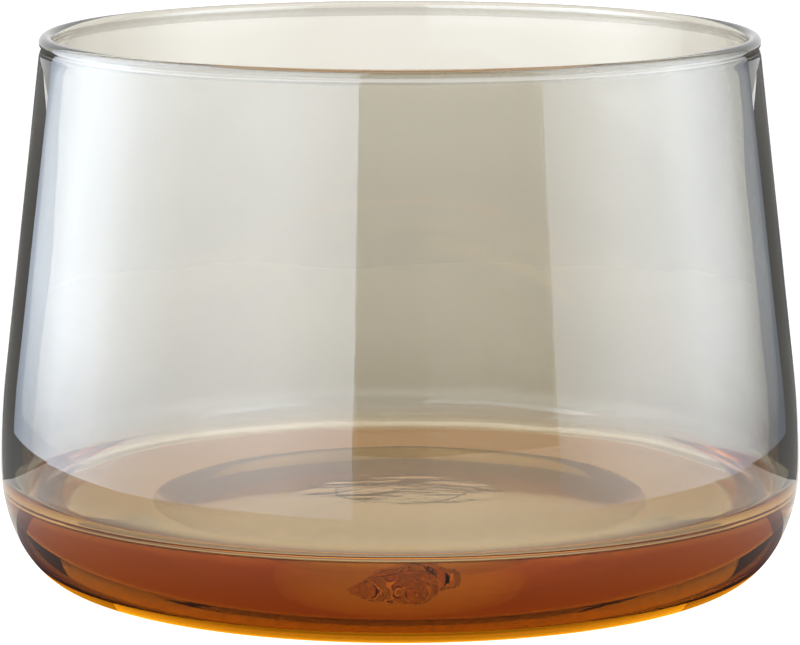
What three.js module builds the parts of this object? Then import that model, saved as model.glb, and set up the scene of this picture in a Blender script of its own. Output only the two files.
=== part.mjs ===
// A hand-blown art glass bowl: a thick amber base cased in clear glass, under a smoke-lined bowl with a
// fire-polished lip. The shape is round about the Z axis, so every piece is a lathed profile. Millimetres,
// +Z up, origin at the centre of the foot. Each glass layer is a solid of its own.
import * as THREE from "three";

// Outside of the bowl
const HEIGHT = 135.5;
const FOOT_RADIUS = 82;
const WIDEST_RADIUS = 100;
const WIDEST_HEIGHT = 29;
const SHOULDER_RISE = 23; // height over which the upright side bends into the leaning wall
const WALL_LEAN = THREE.MathUtils.degToRad(6.65);

// Inside of the bowl
const FLOOR_HEIGHT = 22;
const CORNER_RADIUS = 5; // between the floor and the wall
const WALL_BOTTOM = 5;
const WALL_TOP = 3.6;

// Layers
const CASING = 2.5; // clear glass round the outside; it takes half of the wall where that is thinner
const SMOKE_FLOOR = 1; // smoke glass under the cavity, stretched thinner there than in the wall
const CLEAR_FLOOR = 1.7; // clear glass between the smoke and the amber
const LAYER_GAP = 0.15;
const LIP_RADIUS = 1.8;
const LIP_HEIGHT = 4.5;
const CLEAR_EDGE_ANGLE = THREE.MathUtils.degToRad(15); // where each buried layer thins out in the corner
const AMBER_EDGE_ANGLE = THREE.MathUtils.degToRad(25);

// Underside: pushed up in the middle, so that the pontil mark never touches the table
const KICK_RADIUS = 58;
const KICK_HEIGHT = 12;

// Pontil mark: the scarred disc where the iron was broken off
const PONTIL_RADIUS = 24;
const PONTIL_THICKNESS = 1;
const PONTIL_LIFT = 9.1;

// How finely the round shapes are cut
const SIDES = 56;
const ARC_STEPS = 8;
const WALL_STEPS = 5;

const LIP_BASE = HEIGHT - LIP_HEIGHT;
const SHOULDER_TOP = WIDEST_HEIGHT + SHOULDER_RISE;
const SHOULDER_RADIUS = SHOULDER_RISE / Math.sin(WALL_LEAN);
const CORNER_HEIGHT = FLOOR_HEIGHT + CORNER_RADIUS;
const FLOOR_RADIUS = outerRadius(CORNER_HEIGHT) - WALL_BOTTOM - CORNER_RADIUS;
const BURIED_CORNER = new THREE.Vector2(FLOOR_RADIUS, WIDEST_HEIGHT + 1);

const point = (radius, height) => new THREE.Vector2(radius, height);

// Radius of the outside above the widest ring: an arc, then a straight lean to the lip.
function outerRadius(height) {
  const rise = Math.min(Math.max(height - WIDEST_HEIGHT, 0), SHOULDER_RISE);
  const bend = SHOULDER_RADIUS - Math.sqrt(SHOULDER_RADIUS ** 2 - rise ** 2);
  const straight = Math.max(height - SHOULDER_TOP, 0) * Math.tan(WALL_LEAN);
  return WIDEST_RADIUS - bend - straight;
}

// The wall is thickest at the bottom, as blown glass is, and thins towards the lip.
function wallThickness(height) {
  const share = Math.max(height - CORNER_HEIGHT, 0) / (LIP_BASE - CORNER_HEIGHT);
  return THREE.MathUtils.lerp(WALL_BOTTOM, WALL_TOP, share);
}

const cavityRadius = (height) => outerRadius(height) - wallThickness(height);
const casingInside = (height) => outerRadius(height) - Math.min(CASING, wallThickness(height) / 2);
const bubbleOutside = (height) => casingInside(height) - LAYER_GAP;

// Points on an ellipse about a centre, between two angles.
function arc(centre, acrossRadius, upRadius, from, to) {
  return Array.from({ length: ARC_STEPS + 1 }, (_, step) => {
    const angle = THREE.MathUtils.lerp(from, to, step / ARC_STEPS);
    return point(centre.x + acrossRadius * Math.cos(angle), centre.y + upRadius * Math.sin(angle));
  });
}

// The wall's points between two heights, at a radius worked out from the height.
function wall(from, to, radiusAt) {
  return Array.from({ length: WALL_STEPS + 1 }, (_, step) => {
    const height = THREE.MathUtils.lerp(from, to, step / WALL_STEPS);
    return point(radiusAt(height), height);
  });
}

// The rounded heel from the foot up to the widest ring, set in from the outside by some depth.
function heel(inset) {
  const centre = point(FOOT_RADIUS, WIDEST_HEIGHT);
  const across = WIDEST_RADIUS - FOOT_RADIUS - inset;
  return arc(centre, across, WIDEST_HEIGHT - inset, -Math.PI / 2, 0);
}

const kickHeight = (radius) => KICK_HEIGHT * (1 - (radius / KICK_RADIUS) ** 2);

// The dome of the underside from a radius out to the foot ring, raised by the thickness of a layer.
function kick(from, lift) {
  return Array.from({ length: ARC_STEPS + 1 }, (_, step) => {
    const radius = THREE.MathUtils.lerp(from, KICK_RADIUS, step / ARC_STEPS);
    return point(radius, kickHeight(radius) + lift);
  });
}

// The rounded edge of a buried layer, at some depth under the cavity floor. All of them run together at
// the wall, so a deeper layer ends at a wider angle.
function buriedEdge(depth, edgeAngle) {
  const across = bubbleOutside(BURIED_CORNER.y) - BURIED_CORNER.x;
  const up = BURIED_CORNER.y - FLOOR_HEIGHT + depth;
  return arc(BURIED_CORNER, across, up, -Math.PI / 2, -edgeAngle);
}

function cavityCorner() {
  const centre = point(FLOOR_RADIUS, CORNER_HEIGHT);
  return arc(centre, CORNER_RADIUS, CORNER_RADIUS, -Math.PI / 2, 0);
}

const COLOURS = {
  clear: { color: "#e9ece6", roughness: 0.02 },
  smoke: { color: "#8f8a73", roughness: 0.02 },
  amber: { color: "#a5521c", roughness: 0.02 },
  pontil: { color: "#b08a5c", roughness: 0.35 },
};

function lathed(name, profile, colour) {
  const geometry = new THREE.LatheGeometry(profile, SIDES).rotateX(Math.PI / 2);
  const material = new THREE.MeshStandardMaterial({ ...COLOURS[colour], metalness: 0 });
  const mesh = new THREE.Mesh(geometry, material);
  mesh.name = name;
  return mesh;
}

// The fire-polished lip: a clear bead, a little fuller than the wall, that seals the ends of both layers.
function lipBead() {
  const base = LIP_BASE + LAYER_GAP;
  const middle = outerRadius(HEIGHT) - LIP_RADIUS * 0.75;
  const crest = arc(point(middle, HEIGHT - LIP_RADIUS), LIP_RADIUS, LIP_RADIUS, -0.5, Math.PI + 0.5);
  const start = point(cavityRadius(LIP_BASE), base);
  return lathed("lip_bead", [start, point(outerRadius(base), base), ...crest, start], "clear");
}

// The smoke-tinted bubble: the lining of the cavity floor and the inner half of the wall.
function smokeBubble() {
  const profile = [
    point(0, FLOOR_HEIGHT - SMOKE_FLOOR),
    ...buriedEdge(SMOKE_FLOOR, 0),
    ...wall(BURIED_CORNER.y, SHOULDER_TOP, bubbleOutside).slice(1),
    point(bubbleOutside(LIP_BASE), LIP_BASE),
    ...wall(CORNER_HEIGHT, LIP_BASE, cavityRadius).slice(1).reverse(),
    ...cavityCorner().reverse(),
    point(0, FLOOR_HEIGHT),
  ];
  return lathed("smoke_bubble", profile, "smoke");
}

// The clear gather: a flat lens of clear glass that keeps the smoke and the amber apart.
function clearGather() {
  const top = SMOKE_FLOOR + LAYER_GAP;
  const bottom = SMOKE_FLOOR + CLEAR_FLOOR;
  const profile = [
    point(0, FLOOR_HEIGHT - bottom),
    ...buriedEdge(bottom, CLEAR_EDGE_ANGLE),
    ...buriedEdge(top, CLEAR_EDGE_ANGLE).reverse(),
    point(0, FLOOR_HEIGHT - top),
  ];
  return lathed("clear_gather", profile, "clear");
}

// The amber gather: the thick coloured mass sealed between the clear gather and the casing.
function amberGather() {
  const skin = CASING + LAYER_GAP;
  const depth = SMOKE_FLOOR + CLEAR_FLOOR + LAYER_GAP;
  const edge = buriedEdge(depth, AMBER_EDGE_ANGLE);
  const edgeHeight = edge.at(-1).y;
  const profile = [
    ...kick(0, skin),
    ...heel(skin).filter(({ y }) => y < edgeHeight),
    ...edge.reverse(),
    point(0, FLOOR_HEIGHT - depth),
  ];
  return lathed("amber_gather", profile, "amber");
}

// The clear casing: the outer half of the wall, the heel, the foot ring and the domed underside, with a
// seat for the pontil mark.
function clearCasing() {
  const recessRadius = PONTIL_RADIUS + LAYER_GAP;
  const recessTop = PONTIL_LIFT + PONTIL_THICKNESS + LAYER_GAP;
  const profile = [
    point(0, recessTop),
    point(recessRadius, recessTop),
    ...kick(recessRadius, 0),
    ...heel(0),
    ...wall(WIDEST_HEIGHT, SHOULDER_TOP, outerRadius).slice(1),
    point(outerRadius(LIP_BASE), LIP_BASE),
    point(casingInside(LIP_BASE), LIP_BASE),
    ...wall(WIDEST_HEIGHT, SHOULDER_TOP, casingInside).slice(1).reverse(),
    ...heel(CASING).reverse(),
    ...kick(0, CASING).reverse(),
  ];
  return lathed("clear_casing", profile, "clear");
}

function pontilMark() {
  const top = PONTIL_LIFT + PONTIL_THICKNESS;
  const bevel = PONTIL_THICKNESS / 4;
  const profile = [
    point(0, PONTIL_LIFT),
    point(PONTIL_RADIUS - bevel, PONTIL_LIFT),
    point(PONTIL_RADIUS, PONTIL_LIFT + bevel),
    point(PONTIL_RADIUS, top),
    point(0, top),
  ];
  return lathed("pontil_mark", profile, "pontil");
}

const bowl = new THREE.Group();
bowl.add(lipBead(), smokeBubble(), clearGather(), amberGather(), clearCasing(), pontilMark());

export default bowl;
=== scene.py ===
"""A cased art glass bowl, hand-blown: smoke-lined wall, clear casing, amber base and pontil mark.

Laid out as a Blender add-on. Sizes are in metres unless a name says otherwise, +Z is up, and the origin is
the centre of the foot.
"""
import math

import bpy
from bpy.props import FloatProperty, FloatVectorProperty, IntProperty, PointerProperty
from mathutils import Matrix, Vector


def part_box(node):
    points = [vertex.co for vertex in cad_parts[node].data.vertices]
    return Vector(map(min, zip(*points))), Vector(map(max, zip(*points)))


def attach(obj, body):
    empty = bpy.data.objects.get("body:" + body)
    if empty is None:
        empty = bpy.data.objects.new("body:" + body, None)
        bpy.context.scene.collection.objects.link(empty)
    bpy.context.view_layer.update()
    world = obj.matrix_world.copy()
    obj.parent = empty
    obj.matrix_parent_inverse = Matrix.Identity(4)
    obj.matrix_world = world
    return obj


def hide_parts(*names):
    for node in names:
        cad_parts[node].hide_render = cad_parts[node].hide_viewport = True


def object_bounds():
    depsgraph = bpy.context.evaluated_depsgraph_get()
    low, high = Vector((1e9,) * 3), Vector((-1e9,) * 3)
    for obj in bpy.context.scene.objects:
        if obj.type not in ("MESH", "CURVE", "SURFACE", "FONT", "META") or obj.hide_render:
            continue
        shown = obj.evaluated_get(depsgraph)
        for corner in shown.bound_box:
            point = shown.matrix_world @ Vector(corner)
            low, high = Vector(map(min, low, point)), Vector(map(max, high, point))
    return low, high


bl_info = {
    "name": "Cased Art Glass Bowl",
    "version": (1, 0, 0),
    "blender": (4, 5, 0),
    "location": "View3D > Sidebar > Glass Bowl",
    "description": "Models a hand-blown bowl of smoke and clear glass over an amber base, with its studio",
    "category": "Add Mesh",
}

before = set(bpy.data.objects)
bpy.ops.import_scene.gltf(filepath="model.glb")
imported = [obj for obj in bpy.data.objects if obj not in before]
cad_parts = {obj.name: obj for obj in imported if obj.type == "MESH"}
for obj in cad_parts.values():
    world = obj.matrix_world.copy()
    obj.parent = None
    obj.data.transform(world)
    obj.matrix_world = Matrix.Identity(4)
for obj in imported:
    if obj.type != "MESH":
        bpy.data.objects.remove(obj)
CAD_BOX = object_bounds()
MM = 0.001
WHOLE_TURN = 2 * math.pi
QUARTER = math.pi / 2
SKIN = 0.15 * MM  # clear glass kept between a tinted layer and the surface
COOL_WHITE = (0.74, 0.84, 1.0)  # light of the side diffusers
CAUSTIC = (1.0, 0.38, 0.01)  # painted light: the amber light that the heel would gather on the table
PLATE_SPAN = 0.2  # metres of table that the light plate's painted light runs over
RING_SPAN = 0.5  # the greatest radius that a table ring's painted shade and light may reach


def linear(hex_colour):
    """The scene-linear value of an sRGB hex colour."""
    channels = [int(hex_colour[i : i + 2], 16) / 255 for i in (1, 3, 5)]
    return tuple(c / 12.92 if c <= 0.04045 else ((c + 0.055) / 1.055) ** 2.4 for c in channels)


def size(name, description, default):
    return FloatProperty(name=name, description=description, default=default, unit="LENGTH", precision=5)


def angle(name, description, degrees):
    return FloatProperty(name=name, description=description, default=math.radians(degrees), subtype="ANGLE")


def colour(name, description, hex_colour):
    default = linear(hex_colour)
    return FloatVectorProperty(
        name=name, description=description, subtype="COLOR", size=3, min=0, max=1, default=default
    )


def density(name, default):
    return FloatProperty(name=name, description="Depth of the tint, per metre", default=default)


class BowlShape(bpy.types.PropertyGroup):
    """Sizes of the bowl. The height and the widest radius are read from model.glb."""

    height: size("Height", "Foot to the crest of the lip", CAD_BOX[1][2])
    widest_radius: size("Widest radius", "Outside, at the fullest ring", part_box("clear_casing")[1].x)
    widest_height: size("Widest height", "Height of the fullest ring", 29 * MM)
    foot_radius: size("Foot radius", "Edge of the flat foot", 82 * MM)
    shoulder_rise: size("Shoulder rise", "Height over which the side bends inwards", 23 * MM)
    wall_lean: angle("Wall lean", "How far the straight wall leans inwards", 6.65)
    floor_height: size("Floor height", "Top of the cavity floor", 22 * MM)
    corner_radius: size("Corner radius", "Between the floor and the wall", 5 * MM)
    wall_bottom: size("Wall at the bottom", "Thickness of the wall at the corner", 5 * MM)
    wall_top: size("Wall at the top", "Thickness of the wall under the lip", 3.6 * MM)
    casing: size("Casing", "Clear glass outside the coloured layers", 2.5 * MM)
    lip_radius: size("Lip radius", "Radius of the fire-polished bead", 1.8 * MM)
    lip_height: size("Lip height", "How far the bead and its neck rise above the layers", 4.5 * MM)
    smoke_floor: size("Smoke floor", "Smoke glass under the cavity floor, stretched thin", 0.35 * MM)
    clear_floor: size("Clear floor", "Clear glass between smoke and amber", 1.7 * MM)
    pontil_radius: size("Pontil radius", "Radius of the pontil scar", 24 * MM)
    kick_radius: size("Kick radius", "Edge of the domed underside", 58 * MM)
    kick_height: size("Kick height", "Height of the dome in its middle", 12 * MM)
    sides: IntProperty(name="Sides", description="Steps of the turned shapes", default=256, min=16)


class BowlFinish(bpy.types.PropertyGroup):
    """Colours of the glass. Each is what a metre of glass would pass, at the density beside it."""

    clear: colour("Clear tint", "Faint grey-green of soda-lime glass", "#e6ede4")
    clear_density: density("Clear density", 6.0)
    smoke: colour("Smoke tint", "Grey-olive smoke glass", "#9f9265")
    smoke_density: density("Smoke density", 395.0)
    amber: colour("Amber tint", "Orange-brown amber glass", "#edd069")
    amber_density: density("Amber density", 50.0)


class Outline:
    """Half outlines of the bowl, as (radius, height) points, worked out from its sizes."""

    def __init__(self, shape):
        self.shape = shape
        self.lip_base = shape.height - shape.lip_height
        self.shoulder_top = shape.widest_height + shape.shoulder_rise
        self.shoulder_radius = shape.shoulder_rise / math.sin(shape.wall_lean)
        self.corner_height = shape.floor_height + shape.corner_radius
        inside = self.outer(self.corner_height) - shape.wall_bottom
        self.corner = Vector((inside - shape.corner_radius, self.corner_height))
        self.dome_bend = 0.91 * shape.kick_radius
        self.dome_edge = shape.kick_radius**2 / self.dome_bend

    def lip_centre(self):
        """The middle of the bead, which stands a little proud of the wall."""
        shape = self.shape
        middle = self.outer(shape.height) - 0.75 * shape.lip_radius
        return Vector((middle, shape.height - shape.lip_radius))

    def outer(self, height):
        shape = self.shape
        rise = min(max(height - shape.widest_height, 0), shape.shoulder_rise)
        bend = self.shoulder_radius - math.sqrt(self.shoulder_radius**2 - rise**2)
        straight = max(height - self.shoulder_top, 0) * math.tan(shape.wall_lean)
        return shape.widest_radius - bend - straight

    def wall_thickness(self, height):
        share = max(height - self.corner_height, 0) / (self.lip_base - self.corner_height)
        return self.shape.wall_bottom + share * (self.shape.wall_top - self.shape.wall_bottom)

    def cavity(self, height):
        return self.outer(height) - self.wall_thickness(height)

    def casing_inside(self, height):
        return self.outer(height) - min(self.shape.casing, self.wall_thickness(height) / 2)

    def wall(self, low, high, radius_at, steps):
        heights = [low + (high - low) * i / steps for i in range(steps + 1)]
        return [Vector((radius_at(z), z)) for z in heights]

    def kick(self, start, end, lift, steps):
        """The dome of the underside between two radii, raised by the thickness of a layer."""
        radii = [start + (end - start) * i / steps for i in range(steps + 1)]
        return [Vector((r, self.dome(r) + lift)) for r in radii]

    def dome(self, radius):
        """Height of the underside: a dome that eases out into the flat foot."""
        shape = self.shape
        reach = min(radius, self.dome_bend) / shape.kick_radius
        height = shape.kick_height * (1 - reach**2)
        if radius <= self.dome_bend:
            return height
        left = max(self.dome_edge - radius, 0) / (self.dome_edge - self.dome_bend)
        return height * left**2

    def heel(self, inset, steps):
        shape = self.shape
        centre = Vector((shape.foot_radius, shape.widest_height))
        across = shape.widest_radius - shape.foot_radius - inset
        return arc(centre, across, shape.widest_height - inset, -QUARTER, 0, steps)

    def buried_edge(self, depth, edge_angle, steps):
        centre = Vector((self.corner.x, self.shape.widest_height + 1 * MM))
        across = self.casing_inside(centre.y) - centre.x
        up = centre.y - self.shape.floor_height + depth
        return arc(centre, across, up, -QUARTER, -edge_angle, steps)


def arc(centre, across, up, start, end, steps):
    """Points along part of an ellipse, from one angle to another."""
    angles = [start + (end - start) * i / steps for i in range(steps + 1)]
    return [centre + Vector((across * math.cos(a), up * math.sin(a))) for a in angles]


def flat(inner, outer, height, steps):
    """Points along a level stretch from one radius to another."""
    return [Vector((inner + (outer - inner) * i / steps, height)) for i in range(steps + 1)]


def deselect_all():
    bpy.ops.object.select_all(action="DESELECT")


def lathe(name, outline, sides):
    """Turns an outline that starts and ends on the axis into a closed, smooth mesh."""
    deselect_all()
    bpy.ops.mesh.primitive_plane_add(size=1 * MM)
    piece = bpy.context.object
    piece.name = name
    piece.data.name = name
    bpy.ops.object.mode_set(mode="EDIT")
    bpy.ops.mesh.merge(type="CENTER")
    bpy.ops.transform.translate(value=(outline[0].x, 0, outline[0].y))
    for here, there in zip(outline, outline[1:]):
        step = there - here
        bpy.ops.mesh.extrude_vertices_move(TRANSFORM_OT_translate={"value": (step.x, 0, step.y)})
    bpy.ops.mesh.select_all(action="SELECT")
    bpy.ops.mesh.spin(steps=sides, angle=WHOLE_TURN, center=(0, 0, 0), axis=(0, 0, 1))
    bpy.ops.mesh.select_all(action="SELECT")
    bpy.ops.mesh.remove_doubles(threshold=0.002 * MM)
    bpy.ops.mesh.normals_make_consistent(inside=False)
    bpy.ops.object.mode_set(mode="OBJECT")
    bpy.ops.object.shade_smooth()
    return piece


def weight_by(piece, name, weight_at):
    """A vertex group whose weights come from each point's place."""
    group = piece.vertex_groups.new(name=name)
    for vertex in piece.data.vertices:
        weight = weight_at(vertex.co)
        if weight > 0:
            group.add([vertex.index], weight, "REPLACE")


def displace(piece, name, pattern, strength, group, stretch=1.0):
    """Moves the surface along its normals by a pattern, drawn out along X, and applies it."""
    deselect_all()
    bpy.ops.object.empty_add()
    ruler = bpy.context.object
    ruler.scale.x = stretch
    bpy.context.view_layer.update()
    modifier = piece.modifiers.new(name, "DISPLACE")
    modifier.texture = pattern
    modifier.strength = strength
    modifier.mid_level = 0.5
    modifier.vertex_group = group
    modifier.texture_coords = "OBJECT"
    modifier.texture_coords_object = ruler
    deselect_all()
    bpy.context.view_layer.objects.active = piece
    piece.select_set(True)
    bpy.ops.object.modifier_apply(modifier=modifier.name)
    bpy.data.objects.remove(ruler)


def clouds(name, grain):
    pattern = bpy.data.textures.new(name, "CLOUDS")
    pattern.noise_scale = grain
    pattern.noise_depth = 1
    return pattern


def chill_wrinkles(name):
    """Sharp creases a few millimetres long, as glass that chilled against the iron shows."""
    pattern = bpy.data.textures.new(name, "CLOUDS")
    pattern.noise_type = "HARD_NOISE"
    pattern.noise_scale = 11 * MM
    pattern.noise_depth = 3
    return pattern


def add_node(material, kind, settings=(), **inputs):
    """Adds a node to a material with its settings and its sockets' values or links."""
    node = material.node_tree.nodes.new(kind)
    for name, value in dict(settings).items():
        setattr(node, name, value)
    for name, value in inputs.items():
        socket = node.inputs[name.replace("_", " ")]
        if isinstance(value, bpy.types.NodeSocket):
            material.node_tree.links.new(value, socket)
        else:
            socket.default_value = value
    return node


def glass(name, ior, tint, density, roughness=0.0):
    """A clear glass: its surface bends light by its IOR, and its body takes light out by its tint."""
    material = bpy.data.materials.new(name)
    material.use_nodes = True
    nodes = material.node_tree.nodes
    nodes.clear()
    output = add_node(material, "ShaderNodeOutputMaterial")
    surface = add_node(
        material,
        "ShaderNodeBsdfPrincipled",
        Base_Color=(1, 1, 1, 1),
        Roughness=roughness,
        IOR=ior,
        Transmission_Weight=1.0,
    )
    body = add_node(material, "ShaderNodeVolumeAbsorption", Color=(*tint, 1), Density=density)
    material.node_tree.links.new(surface.outputs["BSDF"], output.inputs["Surface"])
    material.node_tree.links.new(body.outputs["Volume"], output.inputs["Volume"])
    return material


def clear_soda_lime_glass(finish):
    # Fire-polished soda-lime glass: a perfectly smooth skin, IOR about 1.5, grey-green only in depth.
    return glass("clear soda-lime glass", 1.5, finish.clear, finish.clear_density)


def smoke_glass(finish):
    # Grey-olive smoke glass fused inside the clear: the same IOR, so its own surface bends nothing.
    return glass("smoke glass layer", 1.0, finish.smoke, finish.smoke_density)


def amber_glass(finish):
    # Amber (iron-sulphur) glass fused inside the clear: yellow where thin, red-brown where thick.
    return glass("amber glass gather", 1.0, finish.amber, finish.amber_density)


def pontil_glass(finish):
    # The broken and lightly ground scar: the same glass with a satin skin.
    half_amber = finish.amber_density / 2
    return glass("ground pontil glass", 1.5, finish.amber, half_amber, roughness=0.12)


def give(piece, material, slot, *nodes):
    """Finishes a piece: its one material, its body, and the CAD nodes that it stands for. The slot is not
    used.
    """
    piece.data.materials.clear()
    piece.data.materials.append(material)
    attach(piece, "root")
    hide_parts(*nodes)


class BOWL_OT_clear_body(bpy.types.Operator):
    """Turn the clear body: dome, foot, heel, outside, lip and cavity, the skin that holds every layer"""

    bl_idname = "bowl.clear_body"
    bl_label = "Clear Body and Lip"

    def execute(self, context):
        shape = context.scene.bowl_shape
        outline = Outline(shape)
        scar = shape.pontil_radius
        lip_centre = outline.lip_centre()
        corner = arc(outline.corner, shape.corner_radius, shape.corner_radius, -QUARTER, 0, 24)
        points = [
            *outline.kick(0, scar * 1.3, 0, 72),
            *outline.kick(scar * 1.3, outline.dome_edge, 0, 32)[1:],
            *flat(outline.dome_edge, shape.foot_radius, 0, 8)[1:],
            *outline.heel(0, 40)[1:],
            *outline.wall(shape.widest_height, outline.lip_base, outline.outer, 40)[1:],
            *arc(lip_centre, shape.lip_radius, shape.lip_radius, -0.5, math.pi + 0.5, 24),
            *reversed(outline.wall(outline.corner_height, outline.lip_base, outline.cavity, 36)),
            *reversed(corner[:-1]),
            *reversed(flat(0, outline.corner.x, shape.floor_height, 30)[:-1]),
        ]
        piece = lathe("clear_body", points, shape.sides)
        weight_by(piece, "scar", lambda co: scar_weight(co, shape))
        weight_by(piece, "blown wall", lambda co: min(max(co.z / shape.widest_height, 0), 1))
        displace(piece, "blown waviness", clouds("waviness", 40 * MM), 0.12 * MM, "blown wall")
        displace(piece, "chill wrinkles", chill_wrinkles("chill wrinkles"), 2.2 * MM, "scar", stretch=2.6)
        material = clear_soda_lime_glass(context.scene.bowl_finish)
        give(piece, material, "clear_glass", "clear_casing", "lip_bead", "clear_gather")
        return {"FINISHED"}


def scar_weight(co, shape):
    """How strongly a point of the underside is wrinkled: full at the scar, fading out past its edge."""
    reach = math.hypot(co.x, co.y) / (shape.pontil_radius * 1.1)
    if co.z > shape.kick_height + 1 * MM or reach > 1:
        return 0
    return 1 - reach**4


class BOWL_OT_smoke_layer(bpy.types.Operator):
    """Turn the smoke layer that lines the cavity, tints the wall and runs up into the lip"""

    bl_idname = "bowl.smoke_layer"
    bl_label = "Smoke Layer"

    def execute(self, context):
        shape = context.scene.bowl_shape
        outline = Outline(shape)
        buried = outline.buried_edge(shape.smoke_floor, 0, 20)
        bend = shape.corner_radius + SKIN
        corner = arc(outline.corner, bend, bend, -QUARTER, 0, 24)
        lining = outline.wall(
            outline.corner_height, outline.lip_base, lambda height: outline.cavity(height) + SKIN, 36
        )
        lip = shape.lip_radius - SKIN
        points = [
            *flat(0, outline.corner.x, shape.floor_height - shape.smoke_floor, 12),
            *buried[1:],
            *outline.wall(buried[-1].y, outline.lip_base, outline.casing_inside, 36)[1:],
            *arc(outline.lip_centre(), lip, lip, math.radians(60), math.pi + 0.5, 16),
            *reversed(lining),
            *reversed(corner[:-1]),
            *reversed(flat(0, outline.corner.x, shape.floor_height - SKIN, 12)[:-1]),
        ]
        piece = lathe("smoke_layer", points, shape.sides)
        give(piece, smoke_glass(context.scene.bowl_finish), "smoke_glass", "smoke_bubble")
        return {"FINISHED"}


class BOWL_OT_amber_gather(bpy.types.Operator):
    """Turn the amber gather that fills the base"""

    bl_idname = "bowl.amber_gather"
    bl_label = "Amber Gather"

    def execute(self, context):
        shape = context.scene.bowl_shape
        outline = Outline(shape)
        edge = outline.buried_edge(shape.smoke_floor + shape.clear_floor, math.radians(25), 20)
        heel = [p for p in outline.heel(shape.casing, 40) if p.y < edge[-1].y]
        points = [
            *outline.kick(0, outline.dome_edge, shape.casing, 48),
            *heel,
            *reversed(edge),
            *reversed(flat(0, edge[0].x, edge[0].y, 24)[:-1]),
        ]
        piece = lathe("amber_gather_glass", points, shape.sides)
        give(piece, amber_glass(context.scene.bowl_finish), "amber_glass", "amber_gather")
        return {"FINISHED"}


class BOWL_OT_pontil_scar(bpy.types.Operator):
    """Turn the scar where the iron was broken off, a rough skin under the middle of the dome"""

    bl_idname = "bowl.pontil_scar"
    bl_label = "Pontil Scar"

    def execute(self, context):
        shape = context.scene.bowl_shape
        outline = Outline(shape)
        radius, drop, thickness = 0.7 * shape.pontil_radius, 1.4 * MM, 0.4 * MM
        points = [
            *outline.kick(0, radius, -drop - thickness, 30),
            *reversed(outline.kick(0, radius + 0.3 * MM, -drop, 30)),
        ]
        piece = lathe("pontil_scar", points, shape.sides // 2)
        give(piece, pontil_glass(context.scene.bowl_finish), "pontil_glass", "pontil_mark")
        return {"FINISHED"}


class BowlStage(bpy.types.PropertyGroup):
    """Where the camera and the lights stand, and how bright they are."""

    camera_distance: size("Camera distance", "Level distance from the bowl's axis", 1.136)
    camera_height: size("Camera height", "Above the surface that the bowl stands on", 0.246)
    camera_pitch: angle("Camera pitch", "How far the camera looks down", 9.27)
    lens: FloatProperty(name="Lens", description="Focal length, millimetres", default=207.0)
    camera_rise: FloatProperty(name="Vertical shift", description="Lens shift upwards", default=0.0107)
    panel_distance: size("Panel distance", "From the bowl's axis to the side diffusers", 0.3)
    floor_glow: FloatProperty(name="Floor glow", description="Light from the lit table", default=1.04)
    room: FloatProperty(name="Room", description="Brightness of the dim studio", default=0.2)


def only_in_glass(card):
    """Hides a card from the camera and the table: only what the glass reflects or bends shows it."""
    card.visible_camera = False
    card.visible_diffuse = False
    card.visible_shadow = False


def flag(name, side, lean):
    """A grey card lying on the table behind the bowl, on its left (-1) or right (1), turned outwards."""
    width, length, inner_edge, start = 3.0, 5.0, 0.111, 0.1
    deselect_all()
    bpy.ops.mesh.primitive_plane_add(size=1)
    card = bpy.context.object
    card.name = name
    bpy.ops.object.mode_set(mode="EDIT")
    bpy.ops.transform.resize(value=(width, length, 1))
    bpy.ops.transform.translate(value=(side * width / 2, length / 2 + start, 1 * MM))
    bpy.ops.object.mode_set(mode="OBJECT")
    card.rotation_euler.z = -side * lean
    card.location.x = side * inner_edge
    bpy.ops.object.transform_apply(location=True, rotation=True, scale=True)
    card.data.materials.append(plain_stage_material("grey felt", 0.05, 0.12))
    only_in_glass(card)


def painted_table_ring(name, first, last, stops):
    """A flat ring on the table between two azimuths, for painted shadow and painted light that only the
    glass sees. Stops pair a radius with a tint.
    """
    inner, outer, height = stops[0][0], stops[-1][0], 0.1 * MM
    ring = bent_sheet(name, first, last, around(first, inner, height), around(first, outer, height))
    ring.data.materials.append(painted_ring_material(name, stops))
    only_in_glass(ring)


def empty_glow(name):
    """A material with nothing in it yet but its object's coordinates, and those coordinates."""
    material = bpy.data.materials.new(name)
    material.use_nodes = True
    material.node_tree.nodes.clear()
    return material, add_node(material, "ShaderNodeTexCoord").outputs["Object"]


def finish_glow(material, measure, tints, brightest, strength):
    """Makes a material glow in tints that follow a measure from 0 to 1."""
    ramp = add_node(material, "ShaderNodeValToRGB", Fac=measure)
    points = ramp.color_ramp.elements
    for position, tint in tints:
        points.new(position).color = (*(channel / brightest for channel in tint), 1)
    points.remove(points[0])
    points.remove(points[len(points) - 1])
    glow = add_node(material, "ShaderNodeEmission", Color=ramp.outputs["Color"], Strength=strength)
    output = add_node(material, "ShaderNodeOutputMaterial")
    material.node_tree.links.new(glow.outputs["Emission"], output.inputs["Surface"])


def painted_ring_material(name, stops):
    """A glow of painted shade and light whose tint follows the distance from the bowl's axis."""
    brightest = max(max(tint) for _, tint in stops)
    material, place = empty_glow(name)
    distance = add_node(material, "ShaderNodeVectorMath", {"operation": "LENGTH"}, Vector=place)
    reach = add_node(
        material, "ShaderNodeMapRange", Value=distance.outputs["Value"], From_Min=0.0, From_Max=RING_SPAN
    )
    tints = [(radius / RING_SPAN, tint) for radius, tint in stops]
    finish_glow(material, reach.outputs["Result"], tints, brightest, brightest)
    return material


def plain_stage_material(name, grey, glow):
    """A matt grey for the studio's own things, with some white light of its own."""
    material = bpy.data.materials.get(name) or bpy.data.materials.new(name)
    material.use_nodes = True
    surface = material.node_tree.nodes["Principled BSDF"]
    surface.inputs["Base Color"].default_value = (grey, grey, grey, 1)
    surface.inputs["Roughness"].default_value = 0.9
    surface.inputs["Emission Color"].default_value = (1, 1, 1, 1)
    surface.inputs["Emission Strength"].default_value = glow
    return material


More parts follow.
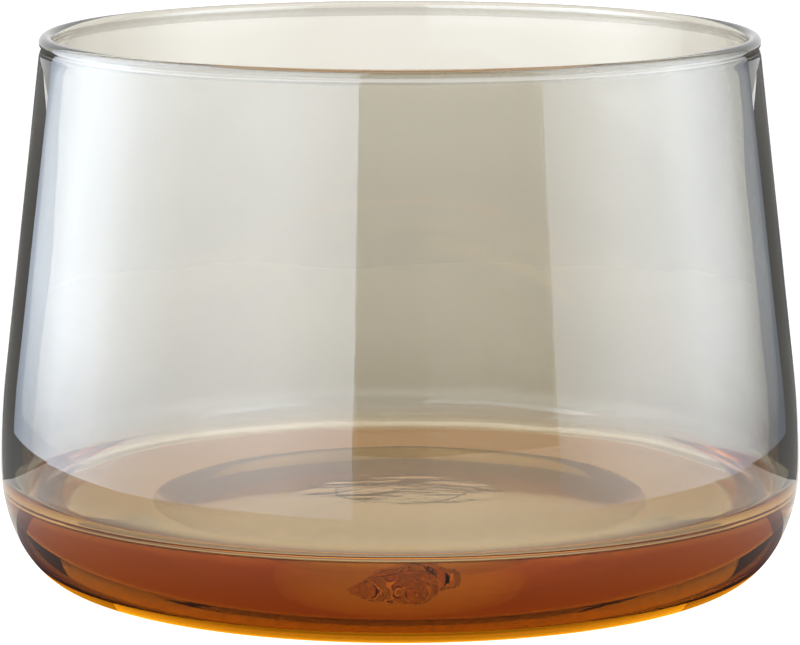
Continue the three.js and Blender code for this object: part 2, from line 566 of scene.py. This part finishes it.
def around(azimuth, distance, height):
    """A point at an azimuth round the bowl, in degrees from the camera's side towards the right."""
    turn = math.radians(azimuth) - QUARTER
    return Vector((distance * math.cos(turn), distance * math.sin(turn), height))


def bent_sheet(name, first, last, low, high):
    """A sheet swept round the bowl from one azimuth to another, by an edge between two points."""
    deselect_all()
    bpy.ops.mesh.primitive_plane_add(size=1 * MM)
    sheet = bpy.context.object
    sheet.name = name
    bpy.ops.object.mode_set(mode="EDIT")
    bpy.ops.mesh.merge(type="CENTER")
    bpy.ops.transform.translate(value=low)
    bpy.ops.mesh.extrude_vertices_move(TRANSFORM_OT_translate={"value": high - low})
    bpy.ops.mesh.select_all(action="SELECT")
    turn = math.radians(last - first)
    bpy.ops.mesh.spin(steps=48, angle=-turn, center=(0, 0, 0), axis=(0, 0, 1))
    bpy.ops.object.mode_set(mode="OBJECT")
    return sheet


def diffuser(name, distance, height, stops):
    """A bent sheet of lit diffuser round the bowl. Stops pair an azimuth with a brightness."""
    first, last = stops[0][0], stops[-1][0]
    sheet = bent_sheet(name, first, last, around(first, distance, 0), around(first, distance, height))
    sheet.data.materials.append(diffuser_material(name, stops))
    only_in_glass(sheet)


def diffuser_material(name, stops):
    """A cool glow whose brightness follows the azimuth, and fades towards the table."""
    brightest = max(level for _, level in stops)
    material, place = empty_glow(name)
    turned = add_node(material, "ShaderNodeMapping", Vector=place, Rotation=(0, 0, QUARTER))
    sweep = add_node(
        material, "ShaderNodeTexGradient", {"gradient_type": "RADIAL"}, Vector=turned.outputs["Vector"]
    )
    tints = [(azimuth / 360 + 0.5, [level * cool for cool in COOL_WHITE]) for azimuth, level in stops]
    parts = add_node(material, "ShaderNodeSeparateXYZ", Vector=place)
    rise = add_node(
        material,
        "ShaderNodeMapRange",
        Value=parts.outputs["Z"],
        From_Min=0.015,
        From_Max=0.06,
        To_Min=brightest * 0.65,
        To_Max=brightest,
    )
    finish_glow(material, sweep.outputs["Fac"], tints, brightest, rise.outputs["Result"])
    return material


def painted_plate_material(name, stops):
    """A glow of painted light whose tint follows the distance behind the bowl's axis."""
    brightest = max(max(tint) for _, tint in stops)
    half = PLATE_SPAN / 2
    material, place = empty_glow(name)
    parts = add_node(material, "ShaderNodeSeparateXYZ", Vector=place)
    behind = parts.outputs["Y"]
    depth = add_node(material, "ShaderNodeMapRange", Value=behind, From_Min=-half, From_Max=half)
    tints = [(y / PLATE_SPAN + 0.5, tint) for y, tint in stops]
    finish_glow(material, depth.outputs["Result"], tints, brightest, brightest)
    return material


def softbox(name, place, target, width, height, brightness):
    """A rectangular lamp of an even brightness that the camera itself doesn't see."""
    deselect_all()
    bpy.ops.object.light_add(type="AREA", location=place)
    lamp = bpy.context.object
    lamp.name = name
    lamp.rotation_euler = (Vector(target) - Vector(place)).to_track_quat("-Z", "Y").to_euler()
    lamp.data.shape = "RECTANGLE"
    lamp.data.size = width
    lamp.data.size_y = height
    lamp.data.energy = brightness * math.pi * width * height
    lamp.visible_camera = False


class BOWL_OT_stage(bpy.types.Operator):
    """Set up the pale table, the studio light and the camera"""

    bl_idname = "bowl.stage"
    bl_label = "Stage"

    def execute(self, context):
        stage = context.scene.bowl_stage
        self.table(stage)
        self.painted_light_plate(context.scene.bowl_shape)
        self.painted_shadows_and_caustic()
        for name, side in (("left flag", -1), ("right flag", 1)):
            flag(name, side, math.radians(12.5))
        self.room(context, stage)
        self.lights(stage)
        self.camera(context, stage)
        return {"FINISHED"}

    def table(self, stage):
        deselect_all()
        bpy.ops.mesh.primitive_plane_add(size=40)
        table = bpy.context.object
        table.name = "table"
        table.data.materials.append(plain_stage_material("lit white acrylic", 0.7, stage.floor_glow))

    def painted_light_plate(self, shape):
        """Painted light on the table right under the foot, as if coloured by the glass: deeper amber
        towards the back. Only the glass sees it.
        """
        deselect_all()
        bpy.ops.mesh.primitive_circle_add(vertices=96, radius=shape.foot_radius + 7 * MM, fill_type="NGON")
        plate = bpy.context.object
        plate.name = "light plate"
        plate.location.z = 0.05 * MM
        # Painted light: pale in front, deeper amber towards the back.
        tints = ((-0.07, (1.15, 1.07, 1.0)), (0, (1.2, 0.93, 0.68)), (0.06, (1.05, 0.7, 0.46)))
        plate.data.materials.append(painted_plate_material("light plate", tints))
        only_in_glass(plate)

    def painted_shadows_and_caustic(self):
        """Painted shadows of the bowl on the table, and painted amber light where its heel would gather
        light at the foot, seen only in the glass.
        """
        # Painted shade on the table under the heel.
        heel_shade = (
            (0.066, (1.1, 1.0, 0.93)),
            (0.072, (0.85, 0.76, 0.74)),
            (0.077, (0.5, 0.42, 0.5)),
            (0.0838, (0.4, 0.3, 0.3)),
        )
        # Painted shadow in front of the foot: near black at its edge, white further out.
        front = ((0.0905, (0.02, 0.01, 0.01)), (0.115, (0.35, 0.3, 0.3)), (0.2, (1.48, 1.48, 1.48)))
        # Painted shadow of the bowl behind it.
        back = (
            (0.0895, (1.0, 0.9, 0.8)),
            (0.103, (0.85, 0.78, 0.72)),
            (0.13, (0.86, 0.81, 0.74)),
            (0.18, (1.0, 0.97, 0.93)),
            (0.26, (1.28, 1.27, 1.25)),
            (0.36, (1.42, 1.42, 1.42)),
            (0.48, (1.48, 1.48, 1.48)),
        )
        painted_table_ring("heel shade", -70, 70, heel_shade)
        # Painted amber light round the edge of the foot.
        for first, last, level in ((-52, 52, 2.3), (-103, -52, 0.9), (52, 103, 0.9)):
            caustic = tuple(level * channel for channel in CAUSTIC)
            painted_table_ring("amber caustic", first, last, ((0.0838, caustic), (0.0905, caustic)))
        painted_table_ring("front shadow", -103, 103, front)
        painted_table_ring("back shadow", 103, 257, back)

    def room(self, context, stage):
        world = bpy.data.worlds.new("studio")
        context.scene.world = world
        world.use_nodes = True
        background = world.node_tree.nodes["Background"]
        background.inputs["Color"].default_value = (1, 1, 1, 1)
        background.inputs["Strength"].default_value = stage.room

    def lights(self, stage):
        near, height = stage.panel_distance, 0.6
        left = (
            *((-127, 1.7), (-113, 4.4), (-109, 5.2), (-100, 8.0), (-86, 9.2)),
            *((-73, 7.6), (-58, 6.1), (-31, 6.4), (-10.7, 4.4)),
        )
        right = ((37.8, 2.7), (42, 3.1), (58, 5.6), (84, 7.0), (100, 4.0), (112, 1.5), (127, 0.7))
        diffuser("left diffuser", near, height, left)
        diffuser("right diffuser", near, height, right)
        self.back_panel("back panel", (1.6, 0.66), (0, 0.55, 0.42), 1.05)
        self.back_panel("low panel", (3.6, 0.32), (0, 1.9, 0.16), 2.5)
        softbox("overhead", (0, 0.3, 1.6), (0, 0, 0), 1.6, 1.6, 1.2)

    def back_panel(self, name, extent, place, brightness):
        """A glowing panel behind the bowl. The base gathers its light from there."""
        deselect_all()
        bpy.ops.mesh.primitive_plane_add(size=1)
        panel = bpy.context.object
        panel.name = name
        panel.scale = (*extent, 1)
        panel.rotation_euler.x = QUARTER
        panel.location = place
        bpy.ops.object.transform_apply(location=True, rotation=True, scale=True)
        panel.data.materials.append(plain_stage_material(name + " glow", 0, brightness))
        only_in_glass(panel)

    def camera(self, context, stage):
        deselect_all()
        bpy.ops.object.camera_add(
            location=(0, -stage.camera_distance, stage.camera_height),
            rotation=(QUARTER - stage.camera_pitch, 0, 0),
        )
        camera = bpy.context.object
        camera.name = "camera"
        camera.data.lens = stage.lens
        camera.data.sensor_width = 36
        camera.data.shift_y = stage.camera_rise
        camera.data.clip_end = 60
        context.scene.camera = camera
        context.scene.view_settings.view_transform = "Standard"
        context.scene.cycles.max_bounces = 32
        context.scene.cycles.transmission_bounces = 32
        context.scene.cycles.glossy_bounces = 16


STEPS = (BOWL_OT_stage, BOWL_OT_clear_body, BOWL_OT_smoke_layer, BOWL_OT_amber_gather, BOWL_OT_pontil_scar)


class BOWL_PT_panel(bpy.types.Panel):
    """The bowl's sizes, colours and pieces"""

    bl_idname = "BOWL_PT_panel"
    bl_label = "Glass Bowl"
    bl_space_type = "VIEW_3D"
    bl_region_type = "UI"
    bl_category = "Glass Bowl"

    def draw(self, context):
        for group in (context.scene.bowl_shape, context.scene.bowl_finish, context.scene.bowl_stage):
            for name in group.bl_rna.properties.keys():
                if name not in ("rna_type", "name"):
                    self.layout.prop(group, name)
        for step in STEPS:
            self.layout.operator(step.bl_idname)


CLASSES = (BowlShape, BowlFinish, BowlStage, *STEPS, BOWL_PT_panel)


def register():
    for cls in CLASSES:
        bpy.utils.register_class(cls)
    bpy.types.Scene.bowl_shape = PointerProperty(type=BowlShape)
    bpy.types.Scene.bowl_finish = PointerProperty(type=BowlFinish)
    bpy.types.Scene.bowl_stage = PointerProperty(type=BowlStage)


def unregister():
    del bpy.types.Scene.bowl_stage
    del bpy.types.Scene.bowl_finish
    del bpy.types.Scene.bowl_shape
    for cls in reversed(CLASSES):
        bpy.utils.unregister_class(cls)


def main():
    register()
    bpy.ops.bowl.stage()
    bpy.ops.bowl.clear_body()
    bpy.ops.bowl.smoke_layer()
    bpy.ops.bowl.amber_gather()
    bpy.ops.bowl.pontil_scar()


if __name__ == "__main__":
    main()
